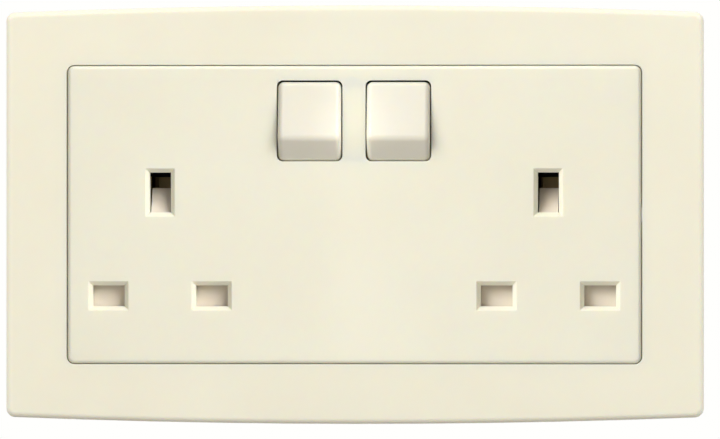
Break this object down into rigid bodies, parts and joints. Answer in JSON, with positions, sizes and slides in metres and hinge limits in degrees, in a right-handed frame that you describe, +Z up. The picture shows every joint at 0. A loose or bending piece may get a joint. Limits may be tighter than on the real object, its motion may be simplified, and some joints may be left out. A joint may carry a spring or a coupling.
{
  "type": "twin wall socket",
  "caption": "Flush two-gang British wall socket with switch rockers, shuttered pin slots and a wide clip-on frame with bowed top and bottom edges.",
  "frame": {"origin": "middle of the two fixing holes, on the wall plane behind the plate", "axes": "+X to the user's right, +Y into the wall, +Z up; the front faces -Y"},
  "size_m": [0.15, 0.0346, 0.09],
  "materials": {
    "ivory_plastic": "satin moulded",
    "shutter_plastic": "fine matt",
    "white_nylon": "matt moulded",
    "housing_plastic": "matt moulded",
    "plunger_nylon": "matt",
    "red_plastic": "satin",
    "brass_strip": "rolled",
    "brass_block": "machined",
    "silver_contact": "bright",
    "spring_steel": "drawn wire",
    "plated_steel": "zinc plated"
  },
  "bodies": {
    "base": {"outer_frame": "ivory_plastic", "face_plate": "ivory_plastic", "chassis": "white_nylon", "rear_housing": "housing_plastic", "live_bar": "brass_strip", "neutral_bar": "brass_strip", "earth_bar": "brass_strip", "assembly_screws": "plated_steel", "earth_terminal_outer": "brass_block", "earth_screw_outer": "plated_steel", "earth_terminal_inner": "brass_block", "earth_screw_inner": "plated_steel", "neutral_terminal": "brass_block", "neutral_screw": "plated_steel", "live_terminal": "brass_block", "live_screw": "plated_steel", "fixed_contact_left": "silver_contact", "live_strip_left": "brass_strip", "shutter_spring_left": "spring_steel", "fixed_contact_right": "silver_contact", "live_strip_right": "brass_strip", "shutter_spring_right": "spring_steel"},
    "left_rocker": {"rocker_left": "ivory_plastic", "on_flash_left": "red_plastic", "plunger_left": "plunger_nylon", "rocker_spring_left": "spring_steel"},
    "left_see_saw": {"see_saw_left": "brass_strip", "moving_contact_left": "silver_contact"},
    "left_shutter": {"shutter_left": "shutter_plastic"},
    "right_rocker": {"rocker_right": "ivory_plastic", "on_flash_right": "red_plastic", "plunger_right": "plunger_nylon", "rocker_spring_right": "spring_steel"},
    "right_see_saw": {"see_saw_right": "brass_strip", "moving_contact_right": "silver_contact"},
    "right_shutter": {"shutter_right": "shutter_plastic"}
  },
  "joints": [
    {"name": "left_rocker_hinge", "type": "hinge", "parent": "base", "child": "left_rocker", "pos_m": [-0.00955, -0.0067, 0.02015], "axis": [1, 0, 0], "range_deg": [0, 14]},
    {"name": "left_see_saw_pivot", "type": "hinge", "parent": "base", "child": "left_see_saw", "pos_m": [-0.00955, 0.0073, 0.02015], "axis": [1, 0, 0], "range_deg": [-23, 0]},
    {"name": "left_shutter_slide", "type": "slide", "parent": "base", "child": "left_shutter", "axis": [0, 0, -1], "range_m": [0, 0.0055], "stiffness_N_per_m": 60, "springref_m": -0.01, "deforming": ["shutter_spring_left"]},
    {"name": "right_rocker_hinge", "type": "hinge", "parent": "base", "child": "right_rocker", "pos_m": [0.00955, -0.0067, 0.02015], "axis": [1, 0, 0], "range_deg": [0, 14]},
    {"name": "right_see_saw_pivot", "type": "hinge", "parent": "base", "child": "right_see_saw", "pos_m": [0.00955, 0.0073, 0.02015], "axis": [1, 0, 0], "range_deg": [-23, 0]},
    {"name": "right_shutter_slide", "type": "slide", "parent": "base", "child": "right_shutter", "axis": [0, 0, -1], "range_m": [0, 0.0055], "stiffness_N_per_m": 60, "springref_m": -0.01, "deforming": ["shutter_spring_right"]}
  ],
  "couplings": [
    {"joint": "left_see_saw_pivot", "follows": "left_rocker_hinge", "ratio": -1.6428},
    {"joint": "right_see_saw_pivot", "follows": "right_rocker_hinge", "ratio": -1.6428}
  ]
}
